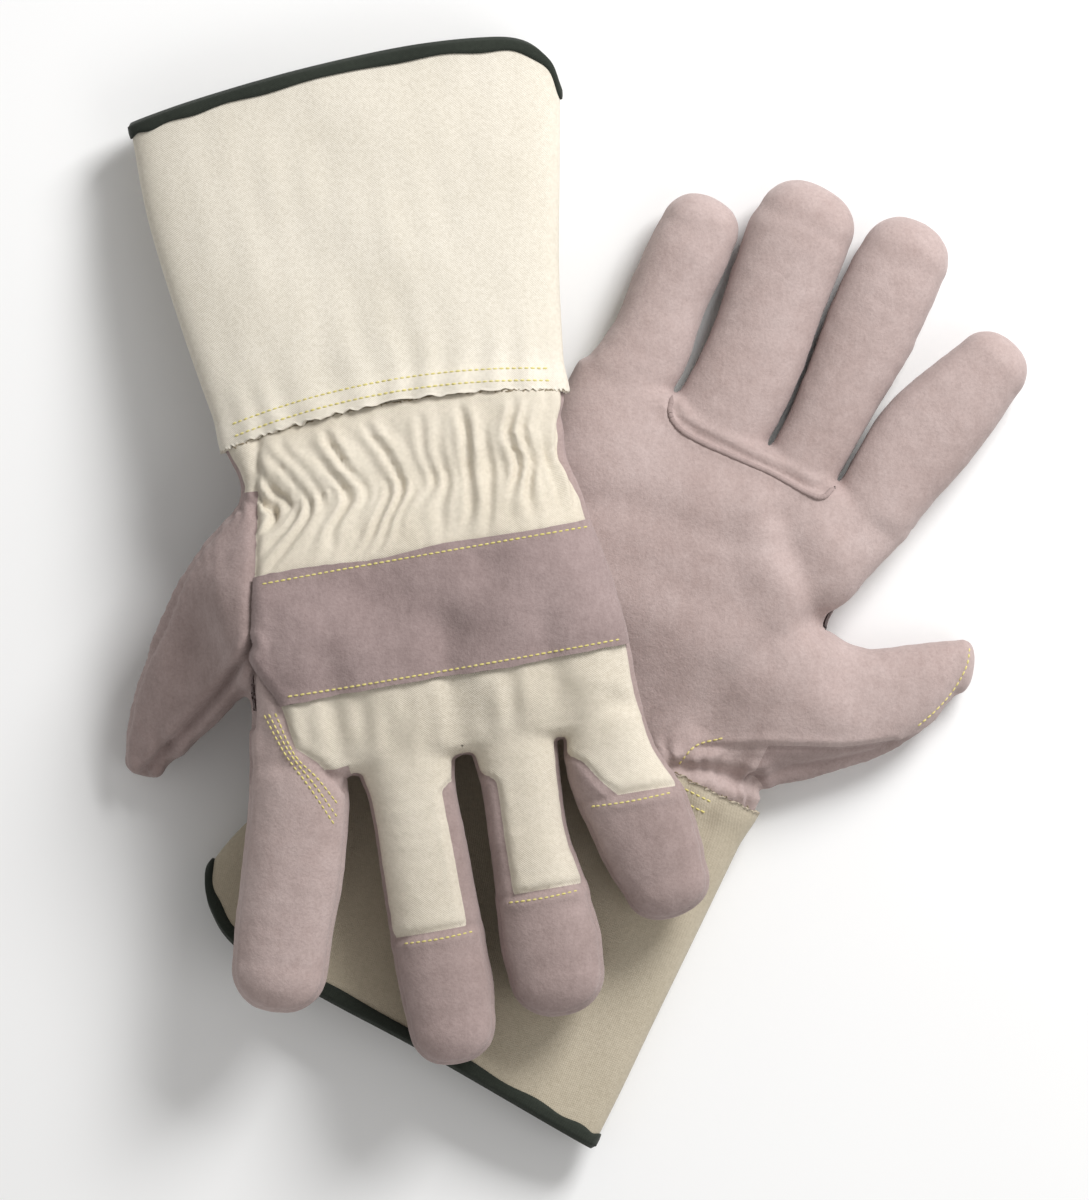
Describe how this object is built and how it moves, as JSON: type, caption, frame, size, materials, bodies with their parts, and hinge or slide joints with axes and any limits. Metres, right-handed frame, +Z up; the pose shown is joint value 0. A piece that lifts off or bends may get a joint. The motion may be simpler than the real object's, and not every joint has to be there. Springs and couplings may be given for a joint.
{
  "type": "pair of leather palm work gloves with safety cuffs",
  "caption": "Pair of work gloves with split leather palms, canvas backs, knuckle straps, gathered wrists and long flared cuffs bound at the edge; one lies across the other.",
  "frame": {"origin": "on the floor, below the middle of the pair's bounding box", "axes": "+Z up off the floor; +Y and +X lie in the floor. The left glove's cuff points to +Y and its fingers to -Y. The right glove's fingers point to +Y and +X"},
  "size_m": [0.3082, 0.3764, 0.068],
  "materials": {
    "split_leather": "brushed suede, matte",
    "leather_welt": "folded suede strip, matte",
    "back_canvas": "undyed cotton canvas, matte",
    "cuff_canvas": "stiffened undyed canvas, matte",
    "binding_tape": "woven tape, matte",
    "cotton_lining": "brushed cotton, matte",
    "wrist_elastic": "shirred elastic tape, matte"
  },
  "bodies": {
    "right_hand": {"right_back_canvas": "back_canvas", "right_cuff": "cuff_canvas", "right_cuff_binding": "binding_tape", "right_finger_root_welt": "leather_welt", "right_knuckle_strap": "split_leather", "right_palm_leather": "split_leather", "right_palm_lining": "cotton_lining", "right_wrist_elastic": "wrist_elastic"},
    "right_index": {"right_index_back": "split_leather", "right_index_front": "split_leather"},
    "right_middle": {"right_middle_back": "back_canvas", "right_middle_front": "split_leather", "right_middle_tip": "split_leather"},
    "right_ring": {"right_ring_back": "back_canvas", "right_ring_front": "split_leather", "right_ring_tip": "split_leather"},
    "right_little": {"right_little_back": "back_canvas", "right_little_front": "split_leather", "right_little_tip": "split_leather"},
    "right_thumb": {"right_thumb_back": "split_leather", "right_thumb_front": "split_leather"},
    "left_hand": {"left_back_canvas": "back_canvas", "left_finger_root_welt": "leather_welt", "left_knuckle_strap": "split_leather", "left_palm_leather": "split_leather", "left_palm_lining": "cotton_lining", "left_wrist_elastic": "wrist_elastic"},
    "left_cuff": {"left_cuff": "cuff_canvas", "left_cuff_binding": "binding_tape"},
    "left_index": {"left_index_back": "split_leather", "left_index_front": "split_leather"},
    "left_middle": {"left_middle_back": "back_canvas", "left_middle_front": "split_leather", "left_middle_tip": "split_leather"},
    "left_ring": {"left_ring_back": "back_canvas", "left_ring_front": "split_leather", "left_ring_tip": "split_leather"},
    "left_little": {"left_little_back": "back_canvas", "left_little_front": "split_leather", "left_little_tip": "split_leather"},
    "left_thumb": {"left_thumb_back": "split_leather", "left_thumb_front": "split_leather"}
  },
  "joints": [
    {"name": "left_glove_lift", "type": "slide", "parent": "right_hand", "child": "left_hand", "axis": [0, 0, 1], "range_m": [0, 0.12]},
    {"name": "right_index_bend", "type": "hinge", "parent": "right_hand", "child": "right_index", "pos_m": [0.10116, 0.0262, 0.014], "axis": [0.8771, -0.4802, 0], "range_deg": [0, 60]},
    {"name": "right_middle_bend", "type": "hinge", "parent": "right_hand", "child": "right_middle", "pos_m": [0.0766, 0.03965, 0.014], "axis": [0.8771, -0.4802, 0], "range_deg": [0, 60]},
    {"name": "right_ring_bend", "type": "hinge", "parent": "right_hand", "child": "right_ring", "pos_m": [0.04853, 0.05502, 0.014], "axis": [0.8771, -0.4802, 0], "range_deg": [0, 60]},
    {"name": "right_little_bend", "type": "hinge", "parent": "right_hand", "child": "right_little", "pos_m": [0.01827, 0.07158, 0.014], "axis": [0.8771, -0.4802, 0], "range_deg": [0, 60]},
    {"name": "right_thumb_bend", "type": "hinge", "parent": "right_hand", "child": "right_thumb", "pos_m": [0.07324, -0.03832, 0.0155], "axis": [-0.4337, -0.9011, 0], "range_deg": [0, 45]},
    {"name": "left_index_bend", "type": "hinge", "parent": "left_hand", "child": "left_index", "pos_m": [-0.09292, -0.05972, 0.047], "axis": [-0.9848, -0.1736, 0], "range_deg": [0, 30]},
    {"name": "left_middle_bend", "type": "hinge", "parent": "left_hand", "child": "left_middle", "pos_m": [-0.05668, -0.05333, 0.047], "axis": [-0.9848, -0.1736, 0], "range_deg": [0, 30]},
    {"name": "left_ring_bend", "type": "hinge", "parent": "left_hand", "child": "left_ring", "pos_m": [-0.02054, -0.04695, 0.047], "axis": [-0.9848, -0.1736, 0], "range_deg": [0, 30]},
    {"name": "left_little_bend", "type": "hinge", "parent": "left_hand", "child": "left_little", "pos_m": [0.00999, -0.04157, 0.047], "axis": [-0.9848, -0.1736, 0], "range_deg": [0, 30]},
    {"name": "left_thumb_bend", "type": "hinge", "parent": "left_hand", "child": "left_thumb", "pos_m": [-0.10722, 0.00123, 0.044], "axis": [0.0175, 0.9998, 0], "range_deg": [0, 45]},
    {"name": "left_wrist_bend", "type": "hinge", "parent": "left_hand", "child": "left_cuff", "pos_m": [-0.06, 0.0588, 0.04], "axis": [0.9848, 0.1736, 0], "range_deg": [0, 20]}
  ]
}
